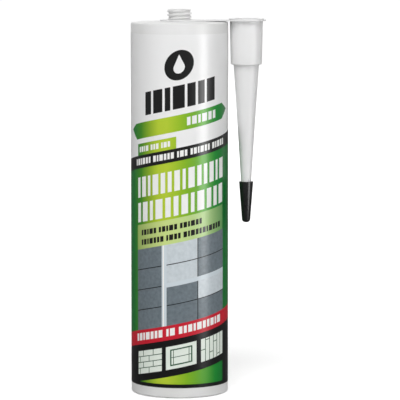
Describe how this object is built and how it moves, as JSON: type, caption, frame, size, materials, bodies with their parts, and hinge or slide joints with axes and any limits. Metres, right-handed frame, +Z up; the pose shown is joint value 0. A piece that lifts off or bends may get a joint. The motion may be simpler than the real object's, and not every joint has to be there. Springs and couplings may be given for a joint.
{
  "type": "sealant cartridge",
  "caption": "Plastic sealant cartridge with a printed film, a threaded neck, an inner piston and a capped conical nozzle hanging from a flat plate on the neck.",
  "frame": {"origin": "centre of the barrel's rear rim, which it stands on", "axes": "+Z up along the barrel from the open rear to the neck, +X towards the hanging nozzle, -Y towards the printed front"},
  "size_m": [0.0695, 0.0502, 0.1982],
  "materials": {
    "barrel_plastic": "moulded white polyethylene, satin gloss",
    "printed_film": "glossy printed film in green, black, red and grey fields",
    "paste": "soft white paste",
    "piston_plastic": "moulded natural polyethylene",
    "hanger_plastic": "moulded white polyethylene",
    "nozzle_plastic": "moulded white polyethylene, satin",
    "cap_plastic": "moulded black polyethylene, glossy"
  },
  "bodies": {
    "barrel": {"barrel": "barrel_plastic", "label": "printed_film", "sealant": "paste"},
    "piston": {"piston": "piston_plastic"},
    "hanger": {"nozzle_hanger": "hanger_plastic"},
    "nozzle": {"nozzle": "nozzle_plastic"},
    "cap": {"nozzle_cap": "cap_plastic"}
  },
  "joints": [
    {"name": "piston_slide", "type": "slide", "parent": "barrel", "child": "piston", "axis": [0, 0, 1], "range_m": [0, 0.1643], "deforming": ["sealant"]},
    {"name": "hanger_swivel", "type": "hinge", "parent": "barrel", "child": "hanger", "pos_m": [0, 0, 0.1922], "axis": [0, 0, 1], "continuous": true},
    {"name": "nozzle_lift", "type": "slide", "parent": "hanger", "child": "nozzle", "axis": [0, 0, 1], "range_m": [0, 0.105]},
    {"name": "cap_pull", "type": "slide", "parent": "nozzle", "child": "cap", "axis": [0, 0, -1], "range_m": [0, 0.03]}
  ]
}
